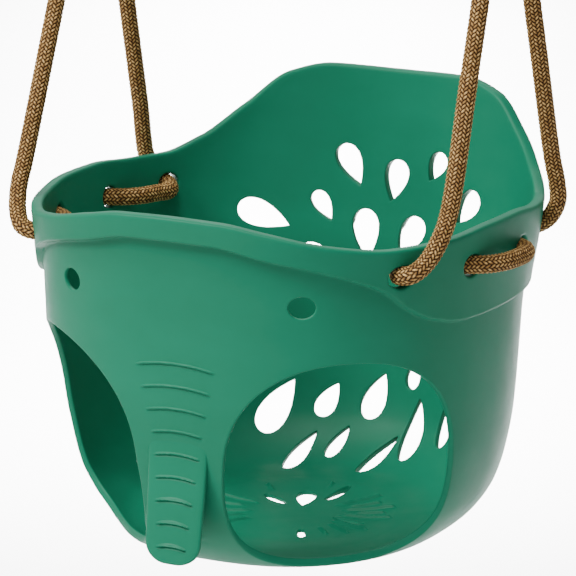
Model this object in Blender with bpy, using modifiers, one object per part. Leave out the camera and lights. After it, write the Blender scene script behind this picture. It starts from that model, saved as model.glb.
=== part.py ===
"""Toddler bucket swing: a one-piece moulded elephant seat on two braided ropes.

Each rope is woven through four holes in the side of the seat. Its two legs meet in a
pressed ferrule under a round thimble, and the thimble hangs on a quick link whose
sleeve nut opens it.

Frame: the origin is midway between the two hang points, which are the inner tops of
the quick links. +Z is up and the elephant's face looks along -Y. +X runs along the
swing axis; names ending in right lie at +X, as seen by someone facing the elephant.
Units are metres.
"""

import math

import bmesh
import bpy
from mathutils import Vector

# ---- driving dimensions -----------------------------------------------------------
HANG_X = 0.1500          # hang points lie at +X and -X of the origin
SEAT_Y = -0.012          # seat axis, behind or before the hang line
RIM_Z = -0.340           # front of the seat's rim

HALF_WIDTH = 0.1625      # plan of the rim: half width along X
FRONT_REACH = 0.1695     # plan of the rim: from the seat axis to the front
BACK_REACH = 0.1690      # plan of the rim: from the seat axis to the back

BASE_Z = -0.245          # underside of the seat below the rim
FLOOR_WALL = 0.0045      # thickness of the floor and the lower wall
FLOOR_LIFT = 0.0009      # extra thickness where the wall turns into the floor

LEG_TURN = 41.0          # direction of each leg hole from the front, in degrees
LEG_HALF_WIDTH = 0.0765
LEG_HALF_HEIGHT = 0.0735
LEG_Z = -0.1665
LEG_TOP_POWER = 2.25     # 2 is an ellipse, more is squarer
LEG_LOW_POWER = 2.7
LEG_CUT_REACH = (0.100, 0.220)  # the opening runs from the floor's edge outwards

EYE_X = 0.081
EYE_Z = -0.055
EYE_HALF_WIDTH = 0.0083
EYE_HALF_HEIGHT = 0.0072

ROPE_HOLES = ((51.6, -0.0375), (73.0, -0.0400), (99.1, -0.0425), (121.0, -0.0435))
ROPE_HOLE_THROAT = 0.0086   # radius at the middle of the wall
ROPE_HOLE_MOUTH = 0.0160    # radius of the flared edge, this far from the middle
ROPE_HOLE_FLARE = 0.0060
ROPE_RADIUS = 0.0049

TRUNK_HALF_WIDTH = 0.0215
TRUNK_TAPER = 0.0020
TRUNK_ROUND = 0.0120
TRUNK_LEAN = 0.145
TRUNK_BURY = 0.22
TRUNK_BOW = 1.1
TRUNK_THICKNESS = 0.0045
TRUNK_JOIN_Z = -0.150
TRUNK_TIP_Z = -0.2300

WIRE_RADIUS = 0.0030     # quick link
LINK_HALF_WIDTH = 0.0110
LINK_TOP_BEND_Z = -0.0080
LINK_LOW_BEND_Z = -0.0390
LINK_GAP_TOP_Z = -0.0105
LINK_GAP_LOW_Z = -0.0170
NUT_TOP_Z = -0.0090
NUT_LENGTH = 0.0204
NUT_ACROSS_FLATS = 0.0100
NUT_CHAMFER = 0.0008
RUN_GAP = 0.0003         # gap between pieces that touch

THIMBLE_Z = -0.0541
THIMBLE_RADIUS = 0.0150  # of the rope's centre line round it
THIMBLE_GROOVE = 0.0075
THIMBLE_SHEET = 0.0012

FERRULE_TOP_Z = -0.087
FERRULE_LENGTH = 0.028
FERRULE_PITCH = 0.0065   # each rope channel from the middle
FERRULE_WALL = 0.0022

BAND_STEP = 0.0012       # half of the height in which the band steps out
LIP = 0.0030             # height over which the rim rounds off
PLAN_STEPS = 72
TUBE_RESOLUTION = 2

# ---- outlines, as (position, value) points joined by smooth curves ----------------
RIM_CURVE = (
    (0, 0.0), (12, -0.001), (22, -0.006), (35, -0.014), (50, -0.019), (65, -0.0185),
    (80, -0.016), (95, -0.0165), (110, -0.0205), (121, -0.0215), (132, -0.013),
    (143, 0.008), (153, 0.030), (163, 0.0365), (180, 0.036),
)
BAND_CURVE = (
    (0, -0.0165), (10, -0.0170), (22, -0.0240), (36, -0.0330), (47, -0.0450),
    (54, -0.0600), (61, -0.0700), (72, -0.0760), (95, -0.0770), (180, -0.0750),
)
WALL_CURVE = (
    (-0.2450, -0.0830), (-0.2445, -0.0700), (-0.2420, -0.0580), (-0.2360, -0.0475),
    (-0.2240, -0.0345), (-0.2090, -0.0250), (-0.1900, -0.0190), (-0.1600, -0.0140),
    (-0.1150, -0.0112), (-0.0530, -0.0090), (0.0, -0.0065), (0.0500, -0.0040),
)
FRONT_POWER_CURVE = ((-0.245, 2.30), (-0.200, 2.55), (-0.100, 2.42), (0.050, 2.42))
BACK_POWER_CURVE = (
    (-0.245, 2.02), (-0.160, 2.05), (-0.100, 2.10), (-0.040, 2.40), (0.0, 2.50), (0.050, 2.50),
)
BAND_BULGE_CURVE = ((-0.0800, -0.0060), (-0.0400, -0.0030), (0.0, 0.0), (0.0500, 0.0030))
WALL_THICKNESS_CURVE = (
    (-0.2450, 0.0045), (-0.0900, 0.0045), (-0.0600, 0.0028), (0.0, 0.0018), (0.0500, 0.0020),
)


def smooth_curve(points, position):
    """Value at a position on a smooth curve that keeps between its points."""
    if position <= points[0][0]:
        return points[0][1]
    if position >= points[-1][0]:
        return points[-1][1]
    slopes = [(b[1] - a[1]) / (b[0] - a[0]) for a, b in zip(points, points[1:])]
    tangents = [0.0]
    for before, after in zip(slopes, slopes[1:]):
        turns_back = before * after <= 0
        tangents.append(0.0 if turns_back else 2 * before * after / (before + after))
    tangents.append(0.0)
    index = 0
    while position > points[index + 1][0]:
        index += 1
    start, end = points[index], points[index + 1]
    span = end[0] - start[0]
    t = (position - start[0]) / span
    rise = t * t * (3 - 2 * t)
    lead = t * (1 - t) ** 2 * tangents[index]
    trail = t * t * (1 - t) * tangents[index + 1]
    return start[1] + (end[1] - start[1]) * rise + span * (lead - trail)


def rim_height(angle):
    return smooth_curve(RIM_CURVE, abs(angle))


def band_height(angle):
    return smooth_curve(BAND_CURVE, abs(angle))


def plan_point(angle, offset, height):
    """Point of the seat at an angle from the front, offset from the rim's plan.

    The plan is a superellipse, whose power changes with height: 2 is an ellipse.
    """
    side = math.sin(math.radians(angle))
    ahead = math.cos(math.radians(angle))
    reach = FRONT_REACH if ahead > 0 else BACK_REACH
    power = smooth_curve(FRONT_POWER_CURVE if ahead > 0 else BACK_POWER_CURVE, height)
    across = abs(side / (HALF_WIDTH + offset)) ** power
    along = abs(ahead / (reach + offset)) ** power
    radius = (across + along) ** (-1 / power)
    return Vector((radius * side, SEAT_Y - radius * ahead, RIM_Z + height))


def outer_offset(height):
    return smooth_curve(WALL_CURVE, height)


def inner_offset(height):
    return outer_offset(height) - smooth_curve(WALL_THICKNESS_CURVE, height)


def band_offset(height):
    return smooth_curve(BAND_BULGE_CURVE, height)


def wall_middle(angle, height):
    """Middle of the banded wall, and the level direction out of it."""
    inside = plan_point(angle, inner_offset(height), height)
    outside = plan_point(angle, band_offset(height), height)
    ahead = plan_point(angle + 1, band_offset(height), height)
    behind = plan_point(angle - 1, band_offset(height), height)
    tangent = (ahead - behind).normalized()
    normal = tangent.cross(Vector((0, 0, 1)))
    if normal.dot(outside - inside) < 0:
        normal.negate()
    return (inside + outside) / 2, normal


# ---- scene helpers ----------------------------------------------------------------
def clear_scene():
    for item in list(bpy.data.objects):
        bpy.data.objects.remove(item, do_unlink=True)


def new_collection(name):
    collection = bpy.data.collections.new(name)
    bpy.context.scene.collection.children.link(collection)
    return collection


def new_material(name, colour, roughness, metallic=0.0):
    material = bpy.data.materials.new(name)
    material.use_nodes = True
    shader = material.node_tree.nodes["Principled BSDF"]
    shader.inputs["Base Color"].default_value = (*colour, 1.0)
    shader.inputs["Roughness"].default_value = roughness
    shader.inputs["Metallic"].default_value = metallic
    return material


def mesh_object(name, mesh, collection, location=(0, 0, 0)):
    item = bpy.data.objects.new(name, mesh)
    item.location = location
    collection.objects.link(item)
    return item


def hide_cutter(item):
    item.hide_render = True
    item.display_type = "WIRE"


def cut(item, cutter, operation="DIFFERENCE"):
    modifier = item.modifiers.new(operation.lower(), "BOOLEAN")
    modifier.operation = operation
    modifier.solver = "EXACT"
    modifier.object = cutter


def loft(rings, closed_ends):
    """Skin rings of equal length; each ring runs round and the last meets the first."""
    shape = bmesh.new()
    rows = [[shape.verts.new(point) for point in ring] for ring in rings]
    count = len(rows[0])
    for lower, upper in zip(rows, rows[1:]):
        for index in range(count):
            after = (index + 1) % count
            shape.faces.new((lower[index], lower[after], upper[after], upper[index]))
    if closed_ends:
        shape.faces.new(list(reversed(rows[0])))
        shape.faces.new(rows[-1])
    bmesh.ops.recalc_face_normals(shape, faces=shape.faces)
    return shape


def finish_mesh(shape, name):
    mesh = bpy.data.meshes.new(name)
    shape.to_mesh(mesh)
    shape.free()
    return mesh


def prism(name, outline, near, far, collection):
    """Straight cutter through an outline of (across, up) points along a direction."""
    origin, across, along = near
    rings = []
    for reach in far:
        ring = [origin + across * x + Vector((0, 0, z)) + along * reach for x, z in outline]
        rings.append(ring)
    item = mesh_object(name, finish_mesh(loft(rings, True), name), collection)
    hide_cutter(item)
    return item


def rounded_outline(half_width, half_height, power, steps, low_power=None):
    """Superellipse outline; its lower half can have a power of its own."""
    points = []
    for step in range(steps):
        angle = 2 * math.pi * (step + 0.5) / steps
        shape = low_power if low_power and math.sin(angle) < 0 else power
        x = math.copysign(abs(math.cos(angle)) ** (2 / shape), math.cos(angle))
        z = math.copysign(abs(math.sin(angle)) ** (2 / shape), math.sin(angle))
        points.append((half_width * x, half_height * z))
    return points


def teardrop_outline(half_width, length, turn, steps=16):
    """Drop with a round end and full sides, its tip turned from straight up."""
    spin = math.radians(turn)
    widest = 0.77            # of sin(t) sin(t / 2)
    points = []
    for step in range(steps):
        way = 2 * math.pi * step / steps
        x = -half_width * math.sin(way) * abs(math.sin(way / 2)) / widest
        z = length / 2 * math.cos(way)
        across = x * math.cos(spin) - z * math.sin(spin)
        points.append((across, x * math.sin(spin) + z * math.cos(spin)))
    return points


# ---- seat -------------------------------------------------------------------------
BACK_VENTS = (
    # angle from the front, height below the rim, half width, length, turn of the tip
    (-168.3, -0.034, 0.0086, 0.031, 155), (179.7, -0.042, 0.0086, 0.030, -168),
    (168.4, -0.029, 0.0065, 0.022, -155), (158.5, -0.054, 0.0085, 0.029, -143),
    (-161.2, -0.064, 0.0062, 0.023, 150), (-146.2, -0.071, 0.0092, 0.038, 113),
    (-172.7, -0.082, 0.0095, 0.036, 177), (175.0, -0.080, 0.0090, 0.031, -150),
    (-160.0, -0.098, 0.0075, 0.026, 100), (160.0, -0.092, 0.0070, 0.025, -130),
    (-149.0, -0.206, 0.0108, 0.046, 33), (-163.7, -0.201, 0.0073, 0.028, 28),
    (-177.5, -0.196, 0.0088, 0.036, 18), (171.5, -0.176, 0.0055, 0.024, 10),
    (167.9, -0.216, 0.0080, 0.050, -3), (157.5, -0.207, 0.0060, 0.034, -12),
    (-168.2, -0.229, 0.0052, 0.030, 22), (-156.0, -0.236, 0.0062, 0.044, 28),
    (176.7, -0.235, 0.0056, 0.044, 22),
)
BURST_Y = 0.016          # middle of the floor's burst, behind the seat's axis
BURST_TEAR = (-20, 0.012, 0.044, 0.0066)
FLOOR_SLOTS = (
    # turn round the burst's middle from the back, near end, far end, half width
    (-60, 0.019, 0.044, 0.0034), (8, 0.030, 0.060, 0.0034), (100, 0.028, 0.054, 0.0024),
    (152, 0.043, 0.061, 0.0027),
)


def seat_rings():
    """Rings of the seat from the middle of its underside, up and over the rim, inside."""
    angles = [360.0 * step / PLAN_STEPS - 180.0 for step in range(PLAN_STEPS)]
    rings = []
    base = outer_offset(BASE_Z)
    for share in (0.3, 0.7):
        inset = base - HALF_WIDTH * 0.42 * (1 - share)
        rings.append([plan_point(angle, inset, BASE_Z) for angle in angles])
    rings.append([plan_point(angle, base, BASE_Z) for angle in angles])
    lower_heights = (-0.2445, -0.242, -0.236, -0.228, -0.217, -0.200, -0.170, -0.130, -0.095)
    for height in lower_heights:
        rings.append([plan_point(angle, outer_offset(height), height) for angle in angles])
    step_foot = []
    step_edge = []
    for angle in angles:
        height = band_height(angle) - BAND_STEP
        step_foot.append(plan_point(angle, outer_offset(height), height))
        height = band_height(angle) + BAND_STEP
        step_edge.append(plan_point(angle, band_offset(height), height))
    rings.append(step_foot)
    rings.append(step_edge)
    for share in (0.5, 1.0):
        ring = []
        for angle in angles:
            low = band_height(angle) + BAND_STEP
            height = low + (rim_height(angle) - LIP - low) * share
            ring.append(plan_point(angle, band_offset(height), height))
        rings.append(ring)
    for share, drop in ((0.2, 0.0008), (0.7, 0.0004)):
        ring = []
        for angle in angles:
            height = rim_height(angle)
            outside = band_offset(height)
            inside = inner_offset(height)
            ring.append(plan_point(angle, outside + (inside - outside) * share, height - drop))
        rings.append(ring)
    inner_ring = []
    for angle in angles:
        height = rim_height(angle) - LIP
        inner_ring.append(plan_point(angle, inner_offset(height), height))
    rings.append(inner_ring)
    middle_ring = []
    for angle in angles:
        height = (rim_height(angle) - 0.095) / 2
        middle_ring.append(plan_point(angle, inner_offset(height), height))
    rings.append(middle_ring)
    for height in reversed(lower_heights):
        inside = max(height, BASE_Z + FLOOR_WALL + 0.0002)
        offset = outer_offset(height) - FLOOR_WALL
        lift = FLOOR_LIFT * max(0.0, (-0.200 - height) / 0.0445)
        rings.append([plan_point(angle, offset, inside + lift) for angle in angles])
    top = BASE_Z + FLOOR_WALL + 0.0002 + FLOOR_LIFT
    for share in (0.7, 0.3):
        inset = base - HALF_WIDTH * 0.42 * (1 - share)
        rings.append([plan_point(angle, inset, top) for angle in angles])
    return rings


def leg_cutter(side, collection):
    turn = math.radians(LEG_TURN) * side
    along = Vector((math.sin(turn), -math.cos(turn), 0))
    across = Vector((math.cos(turn), math.sin(turn), 0))
    origin = Vector((0, SEAT_Y, RIM_Z + LEG_Z))
    outline = rounded_outline(LEG_HALF_WIDTH, LEG_HALF_HEIGHT, LEG_TOP_POWER, 40, LEG_LOW_POWER)
    return prism("leg_cutter", outline, (origin, across, along), LEG_CUT_REACH, collection)


def wall_cutter(name, angle, height, outline, collection):
    """Cutter through the wall at an angle, square to it in plan."""
    middle, normal = wall_middle(angle, height)
    across = Vector((0, 0, 1)).cross(normal)
    return prism(name, outline, (middle, across, normal), (-0.030, 0.030), collection)


def rope_hole_cutter(angle, height, collection):
    """Round cutter, flared at both faces so that the rope bends over a soft edge."""
    middle, normal = wall_middle(angle, height)
    across = Vector((0, 0, 1)).cross(normal)
    profile = (
        (-0.030, ROPE_HOLE_MOUTH), (-ROPE_HOLE_FLARE, ROPE_HOLE_MOUTH), (0.0, ROPE_HOLE_THROAT),
        (ROPE_HOLE_FLARE, ROPE_HOLE_MOUTH), (0.030, ROPE_HOLE_MOUTH),
    )
    rings = []
    for reach, radius in profile:
        outline = rounded_outline(radius, radius, 2.0, 16)
        centre = middle + normal * reach
        rings.append([centre + across * x + Vector((0, 0, z)) for x, z in outline])
    item = mesh_object("rope_hole", finish_mesh(loft(rings, True), "rope_hole"), collection)
    hide_cutter(item)
    return item


def floor_cutter(turn, near, far, outline, collection):
    """Upright cutter through the floor, its outline's up pointing out of the burst."""
    spin = math.radians(turn)
    along = Vector((math.sin(spin), math.cos(spin), 0))
    across = Vector((math.cos(spin), -math.sin(spin), 0))
    middle = Vector((0, SEAT_Y + BURST_Y, RIM_Z + BASE_Z)) + along * (near + far) / 2
    rings = []
    for lift in (-0.01, 0.02):
        ring = [middle + across * x + along * y + Vector((0, 0, lift)) for x, y in outline]
        rings.append(ring)
    item = mesh_object("floor_cutter", finish_mesh(loft(rings, True), "floor_cutter"), collection)
    hide_cutter(item)
    return item


def trunk_flap(collection):
    """Free end of the trunk: it leaves the centre post and leans slightly forward."""
    front = plan_point(0, outer_offset(TRUNK_JOIN_Z), TRUNK_JOIN_Z).y
    heights = [TRUNK_JOIN_Z + 0.012]
    for step in range(6):
        heights.append(TRUNK_JOIN_Z + (TRUNK_TIP_Z + TRUNK_ROUND - TRUNK_JOIN_Z) * step / 6)
    for degrees in (0, 25, 45, 62, 77, 90):
        heights.append(TRUNK_TIP_Z + TRUNK_ROUND * (1 - math.sin(math.radians(degrees))))
    rings = []
    for height in heights:
        below = TRUNK_JOIN_Z - height
        if below > 0:
            lean = TRUNK_LEAN * below ** 2 / (below + 0.010)
        else:
            lean = TRUNK_BURY * below
        into_tip = max(0.0, TRUNK_TIP_Z + TRUNK_ROUND - height) / TRUNK_ROUND
        taper = TRUNK_TAPER * max(below, 0.0) / (TRUNK_JOIN_Z - TRUNK_TIP_Z)
        corner = TRUNK_ROUND * (1 - math.sqrt(max(0.0, 1 - into_tip ** 2)))
        half_width = TRUNK_HALF_WIDTH - taper - corner
        ring = []
        for share in (-1, -0.5, 0, 0.5, 1):
            x = half_width * share
            ring.append(Vector((x, front - lean + TRUNK_BOW * x ** 2, RIM_Z + height)))
        for share in (1, 0.5, 0, -0.5, -1):
            x = half_width * share
            depth = TRUNK_THICKNESS - lean + TRUNK_BOW * x ** 2
            ring.append(Vector((x, front + depth, RIM_Z + height)))
        rings.append(ring)
    item = mesh_object("trunk_flap", finish_mesh(loft(rings, True), "trunk_flap"), collection)
    hide_cutter(item)
    return item


def build_seat(parts, cutters, material):
    shape = loft(seat_rings(), True)
    mesh = finish_mesh(shape, "bucket_seat")
    mesh.materials.append(material)
    seat = mesh_object("bucket_seat", mesh, parts)
    cut(seat, trunk_flap(cutters), "UNION")
    holes = []
    for side in (-1, 1):
        holes.append(leg_cutter(side, cutters))
        eye_angle = math.degrees(math.asin(EYE_X / (FRONT_REACH - 0.008)))
        eye = rounded_outline(EYE_HALF_WIDTH, EYE_HALF_HEIGHT, 2.0, 14)
        holes.append(wall_cutter("eye", side * eye_angle, EYE_Z, eye, cutters))
        for angle, height in ROPE_HOLES:
            holes.append(rope_hole_cutter(side * angle, height, cutters))
    for angle, height, half_width, length, turn in BACK_VENTS:
        outline = teardrop_outline(half_width, length, turn)
        holes.append(wall_cutter("vent", angle, height, outline, cutters))
    turn, near, far, half_width = BURST_TEAR
    tear = teardrop_outline(half_width, far - near, 180)
    holes.append(floor_cutter(turn, near, far, tear, cutters))
    for turn, near, far, half_width in FLOOR_SLOTS:
        slot = rounded_outline(half_width, (far - near) / 2, 2.0, 12)
        holes.append(floor_cutter(turn, near, far, slot, cutters))
    for hole in holes:
        cut(seat, hole)
    return seat


# ---- ropes ------------------------------------------------------------------------
# Route of the +X rope from the ferrule's rear channel to its front channel and round
# the thimble. Leg points are (x, y, z); wall points are (angle, out from the middle of
# the wall, height below the rim).
WALL_ROUTE = (
    (116.7, 0.0065, 0.0060), (118.2, 0.0108, -0.0120), (119.2, 0.0126, -0.0250),
    (120.4, 0.0074, -0.0380), (121.0, -0.0030, -0.0440), (118.6, -0.0118, -0.0455),
    (113.0, -0.0142, -0.0447), (107.4, -0.0140, -0.0440), (102.5, -0.0086, -0.0432),
    (99.1, 0.0000, -0.0425), (95.7, 0.0092, -0.0420), (91.3, 0.0144, -0.0415),
    (86.0, 0.0152, -0.0411), (80.8, 0.0142, -0.0406), (76.4, 0.0092, -0.0403),
    (73.0, 0.0000, -0.0400), (69.4, -0.0092, -0.0396), (65.0, -0.0134, -0.0390),
    (59.8, -0.0134, -0.0385), (54.9, -0.0095, -0.0380), (51.8, 0.0000, -0.0372),
    (52.9, 0.0100, -0.0345), (55.6, 0.0130, -0.0270), (59.2, 0.0122, -0.0120),
    (62.3, 0.0085, 0.0040),
)


def rope_route():
    """Points of the +X rope's centre line, chosen along its way."""
    rear = FERRULE_PITCH
    low = FERRULE_TOP_Z - FERRULE_LENGTH
    points = [Vector((HANG_X, rear, z)) for z in (FERRULE_TOP_Z - 0.016, low + 0.004, low - 0.003)]
    wall = []
    for angle, out, height in WALL_ROUTE:
        middle, normal = wall_middle(angle, height)
        wall.append(middle + normal * out)
    start = points[-1]
    for share in (0.08, 0.35, 0.65):
        points.append(start.lerp(wall[0], share))
    points.extend(wall)
    end = Vector((HANG_X, -rear, low - 0.003))
    for share in (0.35, 0.65, 0.92):
        points.append(wall[-1].lerp(end, share))
    points.append(end)
    for z in (low + 0.004, FERRULE_TOP_Z - 0.004, FERRULE_TOP_Z + 0.002):
        points.append(Vector((HANG_X, -rear, z)))
    leave = 20.0
    for step in range(11):
        turn = math.radians(-leave + (180.0 + 2 * leave) * step / 10)
        y = -THIMBLE_RADIUS * math.cos(turn)
        z = THIMBLE_Z + THIMBLE_RADIUS * math.sin(turn)
        points.append(Vector((HANG_X, y, z)))
    for z in (FERRULE_TOP_Z + 0.002, FERRULE_TOP_Z - 0.004, FERRULE_TOP_Z - 0.012):
        points.append(Vector((HANG_X, rear, z)))
    return points


def smooth_path(points, per_span):
    """Centripetal spline through the points, as many short steps."""
    ends = [points[0] * 2 - points[1]] + points + [points[-1] * 2 - points[-2]]
    path = []
    for p0, p1, p2, p3 in zip(ends, ends[1:], ends[2:], ends[3:]):
        t1 = (p1 - p0).length ** 0.5
        t2 = t1 + (p2 - p1).length ** 0.5
        t3 = t2 + (p3 - p2).length ** 0.5
        for step in range(per_span):
            t = t1 + (t2 - t1) * step / per_span
            a1 = p0.lerp(p1, t / t1)
            a2 = p1.lerp(p2, (t - t1) / (t2 - t1))
            a3 = p2.lerp(p3, (t - t2) / (t3 - t2))
            b1 = a1.lerp(a2, t / t2)
            b2 = a2.lerp(a3, (t - t1) / (t3 - t1))
            path.append(b1.lerp(b2, (t - t1) / (t2 - t1)))
    path.append(points[-1])
    return path


def thin_path(path, straight_step, turn_limit):
    """Keep points where the path has turned or run far enough since the last."""
    kept = [path[0]]
    heading = (path[1] - path[0]).normalized()
    for before, point in zip(path, path[1:]):
        direction = (point - before).normalized()
        run = (point - kept[-1]).length
        turned = heading.angle(direction, 0.0)
        if run > straight_step or (turned > turn_limit and run > ROPE_RADIUS):
            kept.append(point)
            heading = direction
    if (kept[-1] - path[-1]).length < ROPE_RADIUS:
        kept.pop()
    kept.append(path[-1])
    return kept


def curve_tube(name, points, radius, parts, material):
    curve = bpy.data.curves.new(name, "CURVE")
    curve.dimensions = "3D"
    curve.bevel_depth = radius
    curve.bevel_resolution = TUBE_RESOLUTION
    curve.use_fill_caps = True
    spline = curve.splines.new("POLY")
    spline.points.add(len(points) - 1)
    for target, point in zip(spline.points, points):
        target.co = (*point, 1.0)
    curve.materials.append(material)
    item = bpy.data.objects.new(name, curve)
    parts.objects.link(item)
    return item


def build_rope(name, side, origin, parts, material):
    path = thin_path(smooth_path(rope_route(), 12), 0.030, math.radians(14))
    placed = [Vector((side * p.x, p.y, p.z)) - origin for p in path]
    rope = curve_tube(name, placed, ROPE_RADIUS, parts, material)
    rope.location = origin
    return rope


# ---- hardware ---------------------------------------------------------------------
def build_link(name, origin, parts, material):
    """Open wire link: round both bows, with the gap that the nut closes."""
    points = [Vector((LINK_HALF_WIDTH, 0, LINK_GAP_TOP_Z))]
    steps = 12
    for step in range(steps + 1):
        turn = math.pi * step / steps
        x = LINK_HALF_WIDTH * math.cos(turn)
        points.append(Vector((x, 0, LINK_TOP_BEND_Z + LINK_HALF_WIDTH * math.sin(turn))))
    for step in range(steps + 1):
        turn = math.pi * (1 + step / steps)
        x = LINK_HALF_WIDTH * math.cos(turn)
        points.append(Vector((x, 0, LINK_LOW_BEND_Z + LINK_HALF_WIDTH * math.sin(turn))))
    points.append(Vector((LINK_HALF_WIDTH, 0, LINK_GAP_LOW_Z)))
    link = curve_tube(name, points, WIRE_RADIUS, parts, material)
    link.data.bevel_resolution = 3
    link.location = origin
    return link


def turned(name, profile, axis, steps, parts, material):
    """Closed profile in the X-Z or X-Y plane turned about an axis by a Screw modifier."""
    mesh = bpy.data.meshes.new(name)
    edges = [(index, (index + 1) % len(profile)) for index in range(len(profile))]
    mesh.from_pydata(profile, edges, [])
    mesh.materials.append(material)
    item = mesh_object(name, mesh, parts)
    screw = item.modifiers.new("turn", "SCREW")
    screw.axis = axis
    screw.steps = steps
    screw.render_steps = steps
    screw.use_merge_vertices = True
    screw.merge_threshold = 0.00001
    screw.use_normal_calculate = True
    return item


def build_thimble(name, origin, parts, material):
    """Ring with a half-round groove for the rope, turned about X."""
    profile = []
    steps = 8
    inner = THIMBLE_GROOVE - THIMBLE_SHEET
    for radius, order in ((inner, range(steps + 1)), (THIMBLE_GROOVE, range(steps, -1, -1))):
        for step in order:
            turn = math.pi * step / steps
            z = THIMBLE_RADIUS - radius * math.sin(turn)
            profile.append((radius * math.cos(turn), 0, z))
    thimble = turned(name, profile, "X", 32, parts, material)
    thimble.location = origin + Vector((0, 0, THIMBLE_Z))
    return thimble


def build_ferrule(name, origin, parts, cutters, material):
    """Pressed sleeve with an oval outside and two rope channels."""
    channel = ROPE_RADIUS + 3 * RUN_GAP
    half_depth = channel + FERRULE_WALL
    half_width = FERRULE_PITCH + half_depth
    outline = rounded_outline(half_depth, half_width, 2.6, 28)
    low = FERRULE_TOP_Z - FERRULE_LENGTH
    rings = []
    bevel = 0.0012
    levels = ((low, bevel), (low + bevel, 0.0), (FERRULE_TOP_Z - bevel, 0.0), (FERRULE_TOP_Z, bevel))
    for height, inset in levels:
        shrink = 1 - inset / half_depth
        rings.append([Vector((x * shrink, y * shrink, height)) for x, y in outline])
    mesh = finish_mesh(loft(rings, True), name)
    mesh.materials.append(material)
    ferrule = mesh_object(name, mesh, parts, origin)
    tools = []
    for side in (-1, 1):
        bore = rounded_outline(channel, channel, 2.0, 16)
        rings = []
        for height in (low - 0.005, FERRULE_TOP_Z + 0.005):
            rings.append([Vector((x, y + side * FERRULE_PITCH, height)) + origin for x, y in bore])
        tool = mesh_object("bore", finish_mesh(loft(rings, True), "bore"), cutters)
        hide_cutter(tool)
        tools.append(tool)
    for tool in tools:
        cut(ferrule, tool)
    return ferrule


def build_nut(name, origin, parts, material):
    """Hexagonal sleeve nut with chamfered ends and a running bore."""
    bore = WIRE_RADIUS + RUN_GAP
    corner = NUT_ACROSS_FLATS / 2 / math.cos(math.pi / 6)
    low = NUT_TOP_Z - NUT_LENGTH
    shape = bmesh.new()
    sides = 24
    heights = (low, low + NUT_CHAMFER, NUT_TOP_Z - NUT_CHAMFER, NUT_TOP_Z)
    outer_rows = []
    for height in heights:
        end_face = height in (low, NUT_TOP_Z)
        row = []
        for step in range(sides):
            turn = 2 * math.pi * step / sides
            flat = (turn + math.pi / 6) % (math.pi / 3) - math.pi / 6
            reach = NUT_ACROSS_FLATS / 2 / math.cos(math.pi / 6 - abs(flat))
            if end_face:
                reach = min(reach, corner - NUT_CHAMFER) - NUT_CHAMFER / 3
            row.append(shape.verts.new((reach * math.cos(turn), reach * math.sin(turn), height)))
        outer_rows.append(row)
    inner_rows = []
    for height in (NUT_TOP_Z, low):
        row = []
        for step in range(sides):
            turn = 2 * math.pi * step / sides
            row.append(shape.verts.new((bore * math.cos(turn), bore * math.sin(turn), height)))
        inner_rows.append(row)
    rows = outer_rows + inner_rows
    for lower, upper in zip(rows, rows[1:] + rows[:1]):
        for index in range(sides):
            after = (index + 1) % sides
            shape.faces.new((lower[index], lower[after], upper[after], upper[index]))
    bmesh.ops.recalc_face_normals(shape, faces=shape.faces)
    mesh = finish_mesh(shape, name)
    mesh.materials.append(material)
    return mesh_object(name, mesh, parts, origin + Vector((LINK_HALF_WIDTH, 0, 0)))


def smooth_shade(item):
    if item.type == "MESH":
        item.data.shade_smooth()
        item.data.set_sharp_from_angle(angle=math.radians(35))


def main():
    clear_scene()
    parts = new_collection("toddler_bucket_swing")
    cutters = new_collection("cutters")
    green = new_material("green_moulded_plastic", (0.030, 0.300, 0.170), 0.42)
    tan = new_material("tan_braided_rope", (0.420, 0.250, 0.090), 0.85)
    black = new_material("black_coated_steel", (0.010, 0.010, 0.011), 0.18, 0.2)
    zinc = new_material("zinc_plated_steel", (0.620, 0.620, 0.600), 0.30, 1.0)
    build_seat(parts, cutters, green)
    for name, side in (("left", -1), ("right", 1)):
        hang = Vector((side * HANG_X, 0, 0))
        build_rope("rope_" + name, side, hang, parts, tan)
        build_link("quick_link_" + name, hang, parts, black)
        build_nut("sleeve_nut_" + name, hang, parts, black)
        build_thimble("thimble_" + name, hang, parts, zinc)
        build_ferrule("ferrule_" + name, hang, parts, cutters, zinc)
    for item in parts.objects:
        smooth_shade(item)


main()
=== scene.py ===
"""Looks of the toddler bucket swing: moulded seat, braided ropes, links and fittings."""
import math

import bmesh
import bpy
import numpy as np
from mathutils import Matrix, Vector
from mathutils.geometry import delaunay_2d_cdt


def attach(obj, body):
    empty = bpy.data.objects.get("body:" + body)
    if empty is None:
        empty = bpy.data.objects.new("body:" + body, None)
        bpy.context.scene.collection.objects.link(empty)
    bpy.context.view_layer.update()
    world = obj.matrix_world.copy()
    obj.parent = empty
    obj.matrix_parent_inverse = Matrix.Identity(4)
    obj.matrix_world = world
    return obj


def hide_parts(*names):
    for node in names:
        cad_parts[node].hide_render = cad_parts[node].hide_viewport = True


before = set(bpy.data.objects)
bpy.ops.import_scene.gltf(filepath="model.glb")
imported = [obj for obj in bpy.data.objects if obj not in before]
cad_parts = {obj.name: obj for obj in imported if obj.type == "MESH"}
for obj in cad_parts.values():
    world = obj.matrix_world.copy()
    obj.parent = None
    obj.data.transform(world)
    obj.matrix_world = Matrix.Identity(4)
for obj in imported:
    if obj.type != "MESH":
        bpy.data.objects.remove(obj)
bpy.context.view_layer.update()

# ---- dimensions that the CAD also has, in metres and degrees ----------------------
HANG_X = 0.1500          # each link and rope top, to the side of the middle
SEAT_Y = -0.012
RIM_Z = -0.340           # the seat's own heights are measured from here

HALF_WIDTH = 0.1625
FRONT_REACH = 0.1695
BACK_REACH = 0.1690
MEAN_REACH = (HALF_WIDTH + FRONT_REACH) / 2

BASE_Z = -0.245
BASE_OFFSET = -0.0830

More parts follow.
